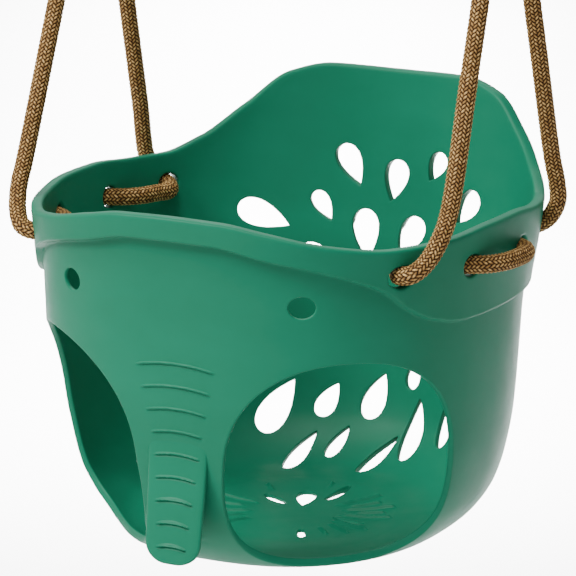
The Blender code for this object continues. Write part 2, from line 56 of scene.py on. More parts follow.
LEG_TURN = 41.0          # each leg opening, round from the front
LEG_HALF_WIDTH = 0.0765
LEG_HALF_HEIGHT = 0.0735
LEG_Z = -0.1665
LEG_TOP_POWER = 2.25
LEG_LOW_POWER = 2.7

EYE_X = 0.081
EYE_Z = -0.055
EYE_HALF_WIDTH = 0.0083
EYE_HALF_HEIGHT = 0.0072

ROPE_HOLES = ((51.6, -0.0375), (73.0, -0.0400), (99.1, -0.0425), (121.0, -0.0435))

TRUNK_HALF_WIDTH = 0.0215
TRUNK_TAPER = 0.0020
TRUNK_LEAN = 0.145
TRUNK_BOW = 1.1          # curve across the trunk, like the post it leaves
TRUNK_THICKNESS = 0.0045
TRUNK_BURY = 0.22        # slope of the slab into the post above the join
TRUNK_JOIN_Z = -0.150
TRUNK_TIP_Z = -0.2300

WIRE_RADIUS = 0.0030
LINK_HALF_WIDTH = 0.0110
LINK_TOP_BEND_Z = -0.0080
LINK_LOW_BEND_Z = -0.0390
LINK_GAP_TOP_Z = -0.0105
LINK_GAP_LOW_Z = -0.0170
NUT_TOP_Z = -0.0090
NUT_LENGTH = 0.0204
NUT_ACROSS_FLATS = 0.0100

THIMBLE_Z = -0.0541
THIMBLE_RADIUS = 0.0150
THIMBLE_GROOVE = 0.0075
THIMBLE_SHEET = 0.0012

FERRULE_TOP_Z = -0.087
FERRULE_LENGTH = 0.028
FERRULE_PITCH = 0.0065

RIM_CURVE = (
    # angle from the front, height
    (0, 0.0), (12, -0.001), (22, -0.006), (35, -0.014), (50, -0.019), (65, -0.0185),
    (80, -0.016), (95, -0.0165), (110, -0.0205), (121, -0.0215), (132, -0.013),
    (143, 0.008), (153, 0.030), (163, 0.0365), (180, 0.036),
)
BAND_CURVE = (
    # angle from the front, height of the ear band's lower edge
    (0, -0.0165), (10, -0.0170), (22, -0.0240), (36, -0.0330), (47, -0.0450),
    (54, -0.0600), (61, -0.0700), (72, -0.0760), (95, -0.0770), (180, -0.0750),
)
WALL_CURVE = (
    # height, how far the wall stands out from the mean reach
    (-0.2450, -0.0830), (-0.2445, -0.0700), (-0.2420, -0.0580), (-0.2360, -0.0475),
    (-0.2240, -0.0345), (-0.2090, -0.0250), (-0.1900, -0.0190), (-0.1600, -0.0140),
    (-0.1150, -0.0112), (-0.0530, -0.0090), (0.0, -0.0065), (0.0500, -0.0040),
)
# height, and the power of the plan's oval, the band's face or the wall's thickness there
FRONT_POWER_CURVE = ((-0.245, 2.30), (-0.200, 2.55), (-0.100, 2.42), (0.050, 2.42))
BACK_POWER_CURVE = (
    (-0.245, 2.02), (-0.160, 2.05), (-0.100, 2.10), (-0.040, 2.40), (0.0, 2.50), (0.050, 2.50),
)
BAND_BULGE_CURVE = ((-0.0800, -0.0060), (-0.0400, -0.0030), (0.0, 0.0), (0.0500, 0.0030))
WALL_THICKNESS_CURVE = (
    (-0.2450, 0.0045), (-0.0900, 0.0045), (-0.0600, 0.0028), (0.0, 0.0018), (0.0500, 0.0020),
)

BACK_VENTS = (
    # angle from the front, height below the rim, half width, length, turn of the tip
    (-168.3, -0.034, 0.0086, 0.031, 155), (179.7, -0.042, 0.0086, 0.030, -168),
    (168.4, -0.029, 0.0065, 0.022, -155), (158.5, -0.054, 0.0085, 0.029, -143),
    (-161.2, -0.064, 0.0062, 0.023, 150), (-146.2, -0.071, 0.0092, 0.038, 113),
    (-172.7, -0.082, 0.0095, 0.036, 177), (175.0, -0.080, 0.0090, 0.031, -150),
    (-160.0, -0.098, 0.0075, 0.026, 100), (160.0, -0.092, 0.0070, 0.025, -130),
    (-149.0, -0.206, 0.0108, 0.046, 33), (-163.7, -0.201, 0.0073, 0.028, 28),
    (-177.5, -0.196, 0.0088, 0.036, 18), (171.5, -0.176, 0.0055, 0.024, 10),
    (167.9, -0.216, 0.0080, 0.050, -3), (157.5, -0.207, 0.0060, 0.034, -12),
    (-168.2, -0.229, 0.0052, 0.030, 22), (-156.0, -0.236, 0.0062, 0.044, 28),
    (176.7, -0.235, 0.0056, 0.044, 22),
)
BURST_Y = 0.016          # middle of the floor's burst, behind the seat's axis
BURST_TEAR = (-20, 0.012, 0.044, 0.0066)
FLOOR_SLOTS = (
    # turn round the burst's middle from the back, near end, far end, half width
    (-60, 0.019, 0.044, 0.0034), (8, 0.030, 0.060, 0.0034), (100, 0.028, 0.054, 0.0024),
    (152, 0.043, 0.061, 0.0027),
)

# ---- dimensions that only the looks have ------------------------------------------
TOP_Z = 0.058            # above the rim's highest point
EYE_SINK = 0.008         # how far the wall at the eyes lies behind the seat's front
ROPE_HOLE_RADIUS = 0.0072
ROPE_DIAMETER = 0.012
FLOOR_EXTRA = 0.0010
FLOOR_THIN = 0.0030      # how much thinner the floor is in the middle of its burst

END_CHAMFER = 0.0005     # on each end of the link's wire
THREAD_PITCH = 0.0010
THREAD_DEPTH = 0.00035
THREAD_LENGTH = 0.0150

FERRULE_WALL = 0.0014
PINCH_DEPTH = 0.0006     # of the press marks across the ferrule
MOUTH_ROLL = 0.0008

TRUNK_ROUND = 0.0145     # height of the rounded tip
TRUNK_EASE = 0.010       # the lean builds up over this height
TRUNK_START = 0.012      # the slab starts this far above the join
TRUNK_SIDE_POWER = 6.7   # more is flatter across, with tighter side edges
TRUNK_TIP_POWER = 2.3
TRUNK_TIP_SHARE = 0.14   # last part of the rounded tip, in which the slab thins out

WRINKLE_WIDTHS = (0.059, 0.0525, 0.0455, 0.0385, 0.0345, 0.0310, 0.0285, 0.0250, 0.0225)
WRINKLE_TOP_Z = -0.1014
WRINKLE_PITCH = 0.0147
WRINKLE_ARCH = 0.0036
WRINKLE_HEIGHT = 0.0011
WRINKLE_SPREAD = 0.00055
CRESCENTS = 3            # the lowest wrinkles are double
CRESCENT_RISE = 0.0014
SPOKES = (
    # turn, near end, far end of each raised line of the burst
    (-87, 0.030, 0.064), (-102, 0.036, 0.066), (-120, 0.030, 0.062), (-133, 0.036, 0.060),
    (-147, 0.036, 0.060), (39, 0.024, 0.062), (52, 0.030, 0.058), (64, 0.026, 0.066),
    (75, 0.034, 0.060), (86, 0.026, 0.068), (111, 0.030, 0.068), (122, 0.034, 0.064),
    (135, 0.038, 0.058), (-5, 0.050, 0.062), (-50, 0.046, 0.060),
)
SPOKE_HEIGHT = 0.0024
SPOKE_SPREAD = 0.0010

LEG_EDGE = 0.0013        # how far each opening's rounded edge reaches
VENT_EDGE = 0.0009
EYE_EDGE = 0.0010
FLOOR_EDGE = 0.0009
ROPE_HOLE_EDGE = 0.0022
RIM_EDGE = 0.0030
BAND_BLEND = 0.0010      # the band's lower edge comes out of the wall over this height
EDGE_STEPS = 12
EDGE_POWER = 3.2         # 2 is a half round, and more is squarer

# ---- density of the seat's triangles ----------------------------------------------
BURST_REACH = 0.086      # size of the finely meshed patch on the floor
TRUNK_REACH = 0.0325     # half width of the wrinkled patch on the centre post
TRUNK_HIGH_Z = -0.092
TRUNK_LOW_Z = -0.162
FINE_TOP_Z = -0.088      # the fine rings are counted out from the middle to here
FIRST_RING = 0.004
TRUNK_MARGIN = 0.0005
BAND_MARGIN = 0.0032     # the even grid stays this far from the band's edge
BAND_LINES = (-0.0024, -0.0014, -0.0007, 0.0, 0.0007, 0.0014, 0.0024)

GRID_STEP = 0.0028
FINE_STEP = 0.00075
TRUNK_STEP = 0.00055
EDGE_POINT_STEP = 0.0011

FLOOR_Z = -0.900         # studio floor, well below the hanging seat


# ---- shape of the seat ------------------------------------------------------------
def smooth_curve(points, position):
    """Values at an array of positions on a smooth curve that keeps between its points."""
    xs, ys = np.array(points, float).T
    slope = np.diff(ys) / np.diff(xs)
    before, after = slope[:-1], slope[1:]
    total = before + after
    same = before * after > 0
    inner = np.where(same, 2 * before * after / np.where(same, total, 1.0), 0.0)
    tangent = np.concatenate([[0.0], inner, [0.0]])
    x = np.clip(np.asarray(position, float), xs[0], xs[-1])
    index = np.clip(np.searchsorted(xs, x, side="left") - 1, 0, len(xs) - 2)
    span = xs[index + 1] - xs[index]
    t = (x - xs[index]) / span
    rise = t * t * (3 - 2 * t)
    lead = t * (1 - t) ** 2 * tangent[index]
    trail = t * t * (1 - t) * tangent[index + 1]
    return ys[index] + (ys[index + 1] - ys[index]) * rise + span * (lead - trail)


def full_turn(count):
    return 2 * math.pi * np.arange(count) / count


def smooth_step(low, high, value):
    t = np.clip((value - low) / (high - low), 0.0, 1.0)
    return t * t * (3 - 2 * t)


def rim_height(angle):
    return smooth_curve(RIM_CURVE, np.abs(np.degrees(angle)))


def band_height(angle):
    return smooth_curve(BAND_CURVE, np.abs(np.degrees(angle)))


class Profile:
    """Way from the middle of the seat's underside out and up its wall."""

    def __init__(self):
        base_radius = MEAN_REACH + BASE_OFFSET
        heights = np.linspace(BASE_Z, TOP_Z, 900)
        radii = MEAN_REACH + smooth_curve(WALL_CURVE, heights)
        self.radius = np.concatenate([[0.0, base_radius * 0.999], radii])
        self.height = np.concatenate([[BASE_Z, BASE_Z], heights])
        steps = np.hypot(np.diff(self.radius), np.diff(self.height))
        self.run = np.concatenate([[0.0], np.cumsum(steps)])
        stretch = steps[1:] / ((self.radius[1:-1] + self.radius[2:]) / 2)
        spread = self.run[1] * np.exp(np.concatenate([[0.0], np.cumsum(stretch)]))
        self.spread = np.concatenate([[0.0], spread])
        self.wall_from = 2

    def at(self, run):
        return np.interp(run, self.run, self.radius), np.interp(run, self.run, self.height)

    def run_at_height(self, height):
        return np.interp(height, self.height[self.wall_from:], self.run[self.wall_from:])

    def spread_at(self, run):
        return np.interp(run, self.run, self.spread)

    def run_at_spread(self, spread):
        return np.interp(spread, self.spread, self.run)


PROFILE = Profile()


def plan_reach(angle, radius, height):
    """Distance from the seat's axis at an angle and height, where the mean reach is radius."""
    base = MEAN_REACH + BASE_OFFSET
    offset = np.maximum(radius, base) - MEAN_REACH
    shrink = np.minimum(radius / base, 1.0)
    side = np.abs(np.sin(angle))
    ahead = np.cos(angle)
    reach = np.where(ahead > 0, FRONT_REACH, BACK_REACH) + offset
    front_power = smooth_curve(FRONT_POWER_CURVE, height)
    power = np.where(ahead > 0, front_power, smooth_curve(BACK_POWER_CURVE, height))
    across = (side / (HALF_WIDTH + offset)) ** power
    along = (np.abs(ahead) / reach) ** power
    return shrink * (across + along) ** (-1 / power)


def plan_point(angle, radius, height):
    reach = plan_reach(angle, radius, height)
    return np.stack([reach * np.sin(angle), SEAT_Y - reach * np.cos(angle), RIM_Z + height], -1)


def bare_point(angle, run):
    """Outer surface of the seat without its band."""
    return plan_point(angle, *PROFILE.at(run))


def outward(angle, run):
    """Unit normal of the bare outer surface."""
    small = 1e-4
    run = np.maximum(run, 3 * small)
    round_way = bare_point(angle + small, run) - bare_point(angle - small, run)
    up_way = bare_point(angle, run + small) - bare_point(angle, run - small)
    normal = np.cross(round_way, up_way)
    return normal / np.linalg.norm(normal, axis=-1, keepdims=True)


def band_relief(angle, height):
    """How far the ear band stands out of the wall."""
    thickness = smooth_curve(BAND_BULGE_CURVE, height) - smooth_curve(WALL_CURVE, height)
    edge = band_height(angle)
    return thickness * smooth_step(edge - BAND_BLEND, edge + BAND_BLEND * 1.2, height)


def wrinkle_relief(x, height):
    """Arched ridges down the trunk, each with a shallow groove under it."""
    relief = np.zeros_like(x)
    first_crescent = len(WRINKLE_WIDTHS) - CRESCENTS
    for index, width in enumerate(WRINKLE_WIDTHS):
        half = width / 2
        bow = 1 - (x / half) ** 2
        line = WRINKLE_TOP_Z - index * WRINKLE_PITCH + WRINKLE_ARCH * bow * width / WRINKLE_WIDTHS[0]
        fade = smooth_step(0.0, 0.16, 1 - np.abs(x) / half)
        ridge = np.exp(-((height - line) / WRINKLE_SPREAD) ** 2)
        groove = np.exp(-((height - line + 2.0 * WRINKLE_SPREAD) / (1.1 * WRINKLE_SPREAD)) ** 2)
        relief = relief + fade * WRINKLE_HEIGHT * (ridge - 0.75 * groove)
        if index >= first_crescent:
            upper = line + CRESCENT_RISE * np.maximum(bow - 0.25, 0.0)
            ridge = np.exp(-((height - upper) / WRINKLE_SPREAD) ** 2)
            relief = relief + 0.6 * WRINKLE_HEIGHT * ridge * smooth_step(0.25, 0.5, bow)
    return relief


def floor_relief(x, y):
    """Raised lines round the middle of the burst on the seat's floor."""
    radius = np.hypot(x, y - BURST_Y)
    turn = np.arctan2(x, y - BURST_Y)
    relief = np.zeros_like(x)
    for spoke_turn, near, far in SPOKES:
        gap = np.mod(turn - math.radians(spoke_turn) + math.pi, 2 * math.pi) - math.pi
        along = smooth_step(near, near + 0.010, radius) * smooth_step(-far, -far + 0.004, -radius)
        relief = relief + along * np.exp(-(gap * radius / SPOKE_SPREAD) ** 2)
    return SPOKE_HEIGHT * relief


def seat_surfaces(angle, run):
    """Outer and inner surface points of the seat."""
    bare = bare_point(angle, run)
    normal = outward(angle, run)
    height = bare[..., 2] - RIM_Z
    front = np.cos(angle) > 0
    relief = band_relief(angle, height)
    relief = relief + np.where(front, wrinkle_relief(bare[..., 0], height), 0.0)
    outer = bare + normal * relief[..., None]
    wall = smooth_curve(WALL_THICKNESS_CURVE, height)
    extra = FLOOR_EXTRA * smooth_step(0.2000, 0.2445, -height)
    extra = extra + np.where(run < 0.1, floor_relief(bare[..., 0], bare[..., 1] - SEAT_Y), 0.0)
    middle = 1 - smooth_step(0.048, 0.080, run)
    inner = bare - normal * (wall + extra - FLOOR_THIN * middle)[..., None]
    return outer, inner


def flat_map(params):
    """Even map of (angle, run) points onto a flat disc, in which the seat is triangulated."""
    spread = PROFILE.spread_at(params[:, 1])
    return np.stack([spread * np.sin(params[:, 0]), -spread * np.cos(params[:, 0])], -1)


# ---- openings in the seat ---------------------------------------------------------
def run_along(path):
    """Distance of each point of a path from its first."""
    return np.concatenate([[0.0], np.cumsum(np.linalg.norm(np.diff(path, axis=0), axis=1))])


def even_loop(points, step):
    """Closed outline resampled at even steps."""
    closed = np.vstack([points, points[:1]])
    run = run_along(closed)
    count = max(12, int(round(run[-1] / step)))
    at = np.arange(count) * run[-1] / count
    return np.stack([np.interp(at, run, column) for column in closed.T], -1)


def grown(points, distance):
    """Outline moved outwards, for one that runs anticlockwise."""
    along = np.roll(points, -1, axis=0) - np.roll(points, 1, axis=0)
    along /= np.linalg.norm(along, axis=1, keepdims=True)
    return points + distance * np.stack([along[:, 1], -along[:, 0]], -1)


def superellipse(turn, half_width, half_height, power):
    """Points x and y at parameter turn; a power of 2 is an ellipse, and more is squarer."""
    x = half_width * np.sign(np.cos(turn)) * np.abs(np.cos(turn)) ** (2 / power)
    y = half_height * np.sign(np.sin(turn)) * np.abs(np.sin(turn)) ** (2 / power)
    return x, y


def oval(half_width, half_height, power=2.0, low_power=2.0):
    turn = full_turn(240)
    power = np.where(np.sin(turn) < 0, low_power, power)
    return np.stack(superellipse(turn, half_width, half_height, power), -1)


def teardrop(half_width, length, turn):
    """Drop with a round end and full sides, its tip turned from straight up."""
    way = full_turn(160)
    across = half_width * np.sin(way) * np.abs(np.sin(way / 2)) / 0.77
    outline = np.stack([-across, length / 2 * np.cos(way)], -1)
    spin = math.radians(turn)
    mix = np.array([[math.cos(spin), math.sin(spin)], [-math.sin(spin), math.cos(spin)]])
    return outline @ mix


def wall_loop(angle, height, outline, edge):
    """Outline drawn on the wall about an angle and height, as (angle, run), and its edge."""
    loop = even_loop(grown(even_loop(outline, EDGE_POINT_STEP), edge), EDGE_POINT_STEP)
    centre_run = PROFILE.run_at_height(height)
    radius = PROFILE.at(centre_run)[0]
    turned = math.radians(angle) + loop[:, 0] / radius
    return np.stack([turned, centre_run + loop[:, 1]], -1), edge


def leg_loop(side):
    """The leg opening's straight prism where it meets the outer surface."""
    outline = oval(LEG_HALF_WIDTH, LEG_HALF_HEIGHT, LEG_TOP_POWER, LEG_LOW_POWER)
    outline = even_loop(outline, EDGE_POINT_STEP)
    loop = even_loop(grown(outline, LEG_EDGE), EDGE_POINT_STEP * 1.5)
    run = PROFILE.run_at_height(LEG_Z + loop[:, 1])
    radius, height = PROFILE.at(run)
    turn = math.radians(LEG_TURN)
    aside = np.zeros(len(loop))
    for halving in range(2, 42):
        beyond = plan_reach(turn + aside, radius, height) * np.sin(aside) > loop[:, 0]
        aside = aside + np.where(beyond, -math.pi, math.pi) / 2 ** halving
    found = np.stack([side * (turn + aside), run], -1)
    return found[::side], LEG_EDGE


def floor_loop(turn, near, far, outline, edge):
    """Outline laid on the floor, its up pointing away from the burst's middle."""
    outline = grown(even_loop(outline, EDGE_POINT_STEP), edge)
    spin = math.radians(turn)
    along = np.array([math.sin(spin), math.cos(spin)])
    across = np.array([math.cos(spin), -math.sin(spin)])
    place = along * (near + far) / 2 + outline[:, :1] * across + outline[:, 1:] * along
    place = place[::-1] + np.array([0.0, BURST_Y])
    angle = np.arctan2(place[:, 0], -place[:, 1])
    wanted = np.hypot(place[:, 0], place[:, 1])
    run = wanted.copy()
    for _ in range(30):
        run = run + wanted - plan_reach(angle, *PROFILE.at(run))
    return np.stack([angle, run], -1), edge


def all_openings():
    """Outline of each opening in (angle, run), and how far its rounded edge reaches."""
    loops = []
    for side in (-1, 1):
        loops.append(leg_loop(side))
        eye_angle = math.degrees(math.asin(EYE_X / (FRONT_REACH - EYE_SINK)))
        eye = oval(EYE_HALF_WIDTH, EYE_HALF_HEIGHT)
        loops.append(wall_loop(side * eye_angle, EYE_Z, eye, EYE_EDGE))
        hole = oval(ROPE_HOLE_RADIUS * 1.12, ROPE_HOLE_RADIUS)
        for angle, height in ROPE_HOLES:
            loops.append(wall_loop(side * angle, height, hole, ROPE_HOLE_EDGE))
    for angle, height, half_width, length, turn in BACK_VENTS:
        outline = teardrop(half_width, length, turn)
        loops.append(wall_loop(angle, height, outline, VENT_EDGE))
    turn, near, far, half_width = BURST_TEAR
    tear = teardrop(half_width, far - near, 180)
    loops.append(floor_loop(turn, near, far, tear, FLOOR_EDGE))
    for turn, near, far, half_width in FLOOR_SLOTS:
        slot = oval(half_width, (far - near) / 2)
        loops.append(floor_loop(turn, near, far, slot, FLOOR_EDGE))
    return loops


# ---- triangulated seat ------------------------------------------------------------
def add_object(name, data):
    item = bpy.data.objects.new(name, data)
    bpy.context.scene.collection.objects.link(item)
    return item


def mesh_object(name, points, faces, material):
    """Smooth-shaded mesh in the scene, its faces turned outwards."""
    mesh = bpy.data.meshes.new(name)
    mesh.from_pydata(points.tolist(), [], faces)
    shape = bmesh.new()
    shape.from_mesh(mesh)
    bmesh.ops.recalc_face_normals(shape, faces=shape.faces)
    shape.to_mesh(mesh)
    shape.free()
    mesh.shade_smooth()
    mesh.materials.append(material)
    return add_object(name, mesh)


def inside_loop(points, loop):
    """Whether flat points lie inside a flat loop."""
    low, high = loop.min(0), loop.max(0)
    near = np.all((points >= low) & (points <= high), axis=1)
    result = np.zeros(len(points), bool)
    index = np.flatnonzero(near)
    if not len(index):
        return result
    x, y = points[index, 0][:, None], points[index, 1][:, None]
    x0, y0 = loop[:, 0][None], loop[:, 1][None]
    x1, y1 = np.roll(loop[:, 0], -1)[None], np.roll(loop[:, 1], -1)[None]
    crosses = ((y0 > y) != (y1 > y)) & (x < (x1 - x0) * (y - y0) / (y1 - y0 + 1e-30) + x0)
    result[index] = crosses.sum(1) % 2 == 1
    return result


def grid_points(step, low_run, high_run):
    """Staggered rings of (angle, run) points about a step apart."""
    rings = []
    rows = int((high_run - low_run) / (step * 0.87))
    for row in range(rows + 1):
        run = low_run + (high_run - low_run) * row / rows
        radius = max(PROFILE.at(run)[0], step)
        count = max(6, int(round(2 * math.pi * radius / step)))
        angle = -math.pi + 2 * math.pi * (np.arange(count) + 0.5 * (row % 2)) / count
        rings.append(np.stack([angle, np.full(count, run)], -1))
    return np.vstack(rings)


def sample_points():
    """Points to triangulate: an even grid, denser along the band, trunk and floor."""
    grid = grid_points(GRID_STEP, FIRST_RING, PROFILE.run_at_height(0.05))
    rim_run = PROFILE.run_at_height(rim_height(grid[:, 0])) - RIM_EDGE
    band_run = PROFILE.run_at_height(band_height(grid[:, 0]))
    keep = (grid[:, 1] < rim_run - GRID_STEP * 0.5) & (np.abs(grid[:, 1] - band_run) > BAND_MARGIN)
    place = bare_point(grid[:, 0], grid[:, 1])
    height = place[:, 2] - RIM_Z
    trunk = (np.abs(place[:, 0]) < TRUNK_REACH + TRUNK_MARGIN) & (np.cos(grid[:, 0]) > 0)
    trunk &= (height > TRUNK_LOW_Z - TRUNK_MARGIN) & (height < TRUNK_HIGH_Z + TRUNK_MARGIN)
    burst = grid[:, 1] < BURST_REACH
    chosen = [grid[keep & ~trunk & ~burst]]
    fine = grid_points(FINE_STEP, FIRST_RING, PROFILE.run_at_height(FINE_TOP_Z))
    chosen.append(fine[fine[:, 1] < BURST_REACH])
    low_run, high_run = PROFILE.run_at_height(TRUNK_LOW_Z), PROFILE.run_at_height(TRUNK_HIGH_Z)
    columns = int(2 * TRUNK_REACH / TRUNK_STEP)
    rows = int((high_run - low_run) / TRUNK_STEP)
    turns = np.linspace(-TRUNK_REACH, TRUNK_REACH, columns) / (MEAN_REACH - 0.013)
    patch = np.stack(np.meshgrid(turns, np.linspace(low_run, high_run, rows)), -1)
    patch[1::2, :, 0] += 0.5 * (turns[1] - turns[0])
    chosen.append(patch.reshape(-1, 2))
    count = int(2 * math.pi * MEAN_REACH / (FINE_STEP * 1.6))
    around = full_turn(count) - math.pi
    edge_run = PROFILE.run_at_height(band_height(around))
    for number, aside in enumerate(BAND_LINES):
        shifted = around + (number % 2) * math.pi / count
        chosen.append(np.stack([shifted, edge_run + aside], -1))
    return np.vstack(chosen)


def triangulated_seat():
    """Points, loops and triangles of the seat's flat map, with the openings still filled."""
    openings = all_openings()
    count = int(2 * math.pi * MEAN_REACH / (FINE_STEP * 1.5))
    around = full_turn(count) - math.pi
    rim_run = PROFILE.run_at_height(rim_height(around)) - RIM_EDGE
    loops = [(np.stack([around, rim_run], -1), RIM_EDGE)] + openings
    points = sample_points()
    flat = flat_map(points)
    keep = np.ones(len(points), bool)
    for loop, _ in openings:
        edge = flat_map(loop)
        middle = edge.mean(0)
        distance = np.linalg.norm(edge - middle, axis=1, keepdims=True)
        margin = middle + (edge - middle) * (1 + GRID_STEP * 0.35 / distance)
        keep &= ~inside_loop(flat, margin)
    points = points[keep]
    sizes = [len(loop) for loop, _ in loops]
    starts = (len(points) + np.cumsum([0] + sizes[:-1])).tolist()
    edges = [(first + k, first + (k + 1) % size) for first, size in zip(starts, sizes) for k in range(size)]
    params = np.vstack([points] + [loop for loop, _ in loops])
    flat = flat_map(params) * 1000
    result = delaunay_2d_cdt([Vector(p) for p in flat.tolist()], edges, [], 0, 1e-5, True)
    out_flat = np.array([tuple(v) for v in result[0]]) / 1000
    triangles = np.array(result[2], int)
    source = [ids[0] if ids else -1 for ids in result[3]]
    return params, loops, starts, out_flat, triangles, np.array(source)


def seat_object(material):
    params, loops, starts, flat, triangles, source = triangulated_seat()
    spread = np.hypot(flat[:, 0], flat[:, 1])
    angle = np.arctan2(flat[:, 0], -flat[:, 1])
    run = PROFILE.run_at_spread(spread)
    known = source >= 0
    angle[known] = params[source[known], 0]
    run[known] = params[source[known], 1]
    centre = flat[triangles].mean(1)
    rim = flat_map(loops[0][0])
    good = inside_loop(centre, rim)
    for loop, _ in loops[1:]:
        good &= ~inside_loop(centre, flat_map(loop))
    triangles = triangles[good]
    a, b, c = (flat[triangles[:, k]] for k in range(3))
    area = (b[:, 0] - a[:, 0]) * (c[:, 1] - a[:, 1]) - (b[:, 1] - a[:, 1]) * (c[:, 0] - a[:, 0])
    triangles[area < 0] = triangles[area < 0][:, ::-1]
    outer, inner = seat_surfaces(angle, run)
    size = len(outer)
    where = {int(s): k for k, s in enumerate(source) if s >= 0}
    verts = [outer, inner]
    faces = triangles.tolist() + (triangles[:, ::-1] + size).tolist()
    total = 2 * size
    for number, (loop, reach) in enumerate(loops):
        ids = np.array([where[starts[number] + k] for k in range(len(loop))])
        upper, lower = outer[ids], inner[ids]
        middle, half = (upper + lower) / 2, (upper - lower) / 2
        along = np.roll(middle, -1, axis=0) - np.roll(middle, 1, axis=0)
        away = np.cross(half, along)
        away /= np.linalg.norm(away, axis=1, keepdims=True)
        towards = middle.mean(0) - middle
        sign = (away[:, 2] if number == 0 else (away * towards).sum(1)).mean()
        away *= math.copysign(1.0, sign)
        rows = [ids]
        for step in range(1, EDGE_STEPS):
            turn = math.pi * step / EDGE_STEPS
            lift = math.copysign(abs(math.cos(turn)) ** (2 / EDGE_POWER), math.cos(turn))
            push = abs(math.sin(turn)) ** (2 / EDGE_POWER)
            verts.append(middle + half * lift + away * reach * push)
            rows.append(np.arange(total, total + len(ids)))
            total += len(ids)
        rows.append(ids + size)
        for first, second in zip(rows, rows[1:]):
            faces += np.stack([first, np.roll(first, -1), np.roll(second, -1), second], -1).tolist()
    return mesh_object("seat_shell", np.vstack(verts), faces, material)


# ---- trunk ------------------------------------------------------------------------
def trunk_object(material):
    """Free end of the trunk: a slab with round edges that leaves the centre post."""
    rows = 230
    sweep = np.sin(np.pi * np.linspace(-0.5, 0.5, 73)[:-1])
    across = np.concatenate([sweep, -sweep])
    bulge = (1 - np.abs(across) ** TRUNK_SIDE_POWER) ** 0.25
    depth = np.where(np.arange(across.size) < sweep.size, bulge, -bulge)
    high_z = TRUNK_JOIN_Z + TRUNK_START
    post_run = PROFILE.run_at_height(np.array([TRUNK_JOIN_Z]))
    face = bare_point(np.array([0.0]), post_run)[0, 1]
    rings = []
    for row in range(rows + 1):
        share = row / rows
        height = high_z + (TRUNK_TIP_Z - high_z) * (1 - (1 - share) ** 1.25)
        below = TRUNK_JOIN_Z - height
        taper = TRUNK_HALF_WIDTH - TRUNK_TAPER * max(below, 0.0) / (TRUNK_JOIN_Z - TRUNK_TIP_Z)
        into_tip = max(0.0, TRUNK_TIP_Z + TRUNK_ROUND - height) / TRUNK_ROUND
        half_width = taper * max(1 - into_tip ** TRUNK_TIP_POWER, 0.0) ** (1 / TRUNK_TIP_POWER)
        thinner = max(into_tip - 1 + TRUNK_TIP_SHARE, 0.0) / TRUNK_TIP_SHARE
        thin = TRUNK_THICKNESS / 2 * max(1 - thinner ** 2, 0.02) ** 0.5
        lean = TRUNK_LEAN * below ** 2 / (below + TRUNK_EASE) if below > 0 else TRUNK_BURY * below
        middle = face + TRUNK_THICKNESS / 2 - lean
        x = half_width * across
        relief = wrinkle_relief(x, np.full_like(x, height)) * (depth > 0.7)
        y = middle + TRUNK_BOW * x ** 2 - thin * depth - relief * float(smooth_step(0.0, 0.004, below))
        rings.append(np.stack([x, y, np.full_like(x, RIM_Z + height)], -1))
    return skin("trunk_end", np.array(rings), material, caps=True)


def skin(name, rings, material, caps=False, closed=False):
    """Mesh from rings of equal size; closed joins the last ring to the first."""
    count, size = rings.shape[:2]
    index = np.arange(count * size).reshape(count, size)
    lower = index if closed else index[:-1]
    upper = np.roll(index, -1, axis=0) if closed else index[1:]
    after_lower, after_upper = np.roll(lower, -1, axis=1), np.roll(upper, -1, axis=1)
    faces = np.stack([lower, after_lower, after_upper, upper], -1).reshape(-1, 4).tolist()
    if caps:
        faces += [index[0][::-1].tolist(), index[-1].tolist()]
    item = mesh_object(name, rings.reshape(-1, 3), faces, material)
    if caps:
        item.data.set_sharp_from_angle(angle=math.radians(50))
    return item


# ---- ropes ------------------------------------------------------------------------
WALL_ROUTE = (
    # angle from the front, distance out from the middle of the wall, height
    (116.7, 0.0065, 0.0060), (118.2, 0.0108, -0.0120), (119.2, 0.0126, -0.0250),
    (120.4, 0.0074, -0.0380), (121.0, -0.0030, -0.0440), (118.6, -0.0118, -0.0455),
    (113.0, -0.0142, -0.0447), (107.4, -0.0140, -0.0440), (102.5, -0.0086, -0.0432),
    (99.1, 0.0000, -0.0425), (95.7, 0.0092, -0.0420), (91.3, 0.0144, -0.0415),
    (86.0, 0.0152, -0.0411), (80.8, 0.0142, -0.0406), (76.4, 0.0092, -0.0403),
    (73.0, 0.0000, -0.0400), (69.4, -0.0092, -0.0396), (65.0, -0.0134, -0.0390),
    (59.8, -0.0134, -0.0385), (54.9, -0.0095, -0.0380), (51.8, 0.0000, -0.0372),
    (52.9, 0.0100, -0.0345), (55.6, 0.0130, -0.0270), (59.2, 0.0122, -0.0120),
    (62.3, 0.0085, 0.0040),
)
BRAID_CARRIERS = 14      # strands that run each way round
BRAID_PITCH = 0.040      # along the rope, once round
EYE_SQUEEZE = 0.08       # share of its width that the rope loses round the thimble
EYE_LOW_Z, EYE_HIGH_Z = -0.085, -0.070
STRAND_RELIEF = 0.00088
ROPE_SIDES = 96
ROPE_RING_STEP = 0.00052


def wall_middle(degrees, height):
    """Middle of the banded wall and the level direction out of it."""
    inside = smooth_curve(WALL_CURVE, height) - smooth_curve(WALL_THICKNESS_CURVE, height)
    turn, step = math.radians(degrees), math.radians(1)
    outside = MEAN_REACH + smooth_curve(BAND_BULGE_CURVE, height)
    middle = (plan_point(turn, MEAN_REACH + inside, height) + plan_point(turn, outside, height)) / 2
    tangent = plan_point(turn + step, outside, height) - plan_point(turn - step, outside, height)
    normal = np.cross(tangent, [0.0, 0.0, 1.0])
    return middle, normal / np.linalg.norm(normal)


